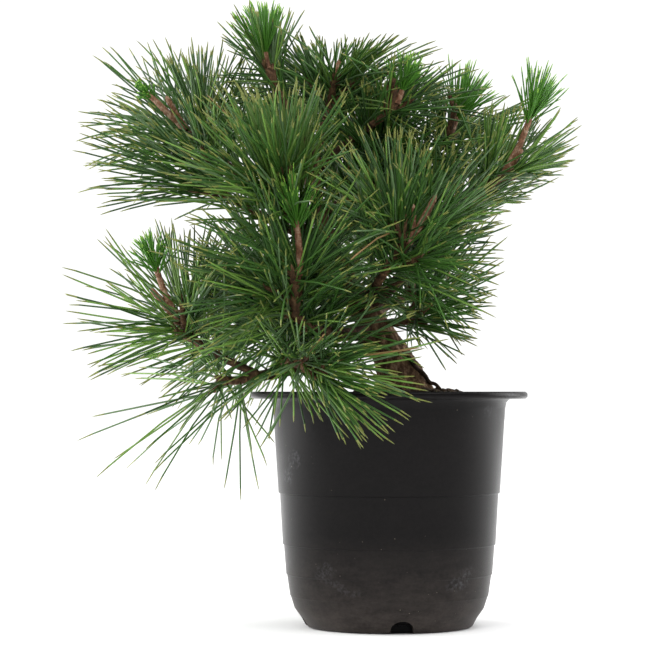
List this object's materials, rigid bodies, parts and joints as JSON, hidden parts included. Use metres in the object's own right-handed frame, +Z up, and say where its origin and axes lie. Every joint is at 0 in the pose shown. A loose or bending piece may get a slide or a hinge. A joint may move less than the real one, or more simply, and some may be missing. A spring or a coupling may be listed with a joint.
{
  "type": "potted japanese black pine",
  "caption": "Young Japanese black pine with a leaning trunk and long stiff needles, in a round black nursery pot with a turned-out rim.",
  "frame": {"origin": "centre of the pot's flat underside, on the surface it stands on", "axes": "+Z up, the pictured front looks along +Y, +X to the viewer's right"},
  "size_m": [0.3334, 0.2898, 0.4062],
  "materials": {
    "pot": "matte",
    "soil": "rough",
    "bark": "rough",
    "young_bark": "rough",
    "needles": "satin"
  },
  "bodies": {
    "root": {"pot": "pot", "soil": "soil", "trunk": "bark", "bough_low_left": "young_bark", "bough_low_left_rise": "young_bark", "bough_front_low": "young_bark", "bough_front_mid": "young_bark", "bough_right": "young_bark", "bough_low_right": "young_bark", "bough_back_low": "young_bark", "bough_left": "young_bark", "bough_back_mid": "young_bark", "bough_upper_left": "young_bark", "bough_upper_right": "young_bark", "bough_front_high": "young_bark", "bough_front_left": "young_bark", "bough_back_high": "young_bark", "bough_top_left": "young_bark", "bough_top_right": "young_bark", "needles_low_left": "needles", "needles_low_mid": "needles", "needles_low_left_rise": "needles", "needles_front_low": "needles", "needles_front_mid": "needles", "needles_right_side": "needles", "needles_right_low": "needles", "needles_right": "needles", "needles_right_back": "needles", "needles_low_right": "needles", "needles_back_low": "needles", "needles_left": "needles", "needles_back_mid": "needles", "needles_upper_left": "needles", "needles_upper_right": "needles", "needles_upper_mid": "needles", "needles_front_high": "needles", "needles_front_left": "needles", "needles_back_high": "needles", "needles_top_left": "needles", "needles_trunk_top": "needles", "needles_top_right": "needles", "needles_trunk_back": "needles"}
  },
  "joints": []
}
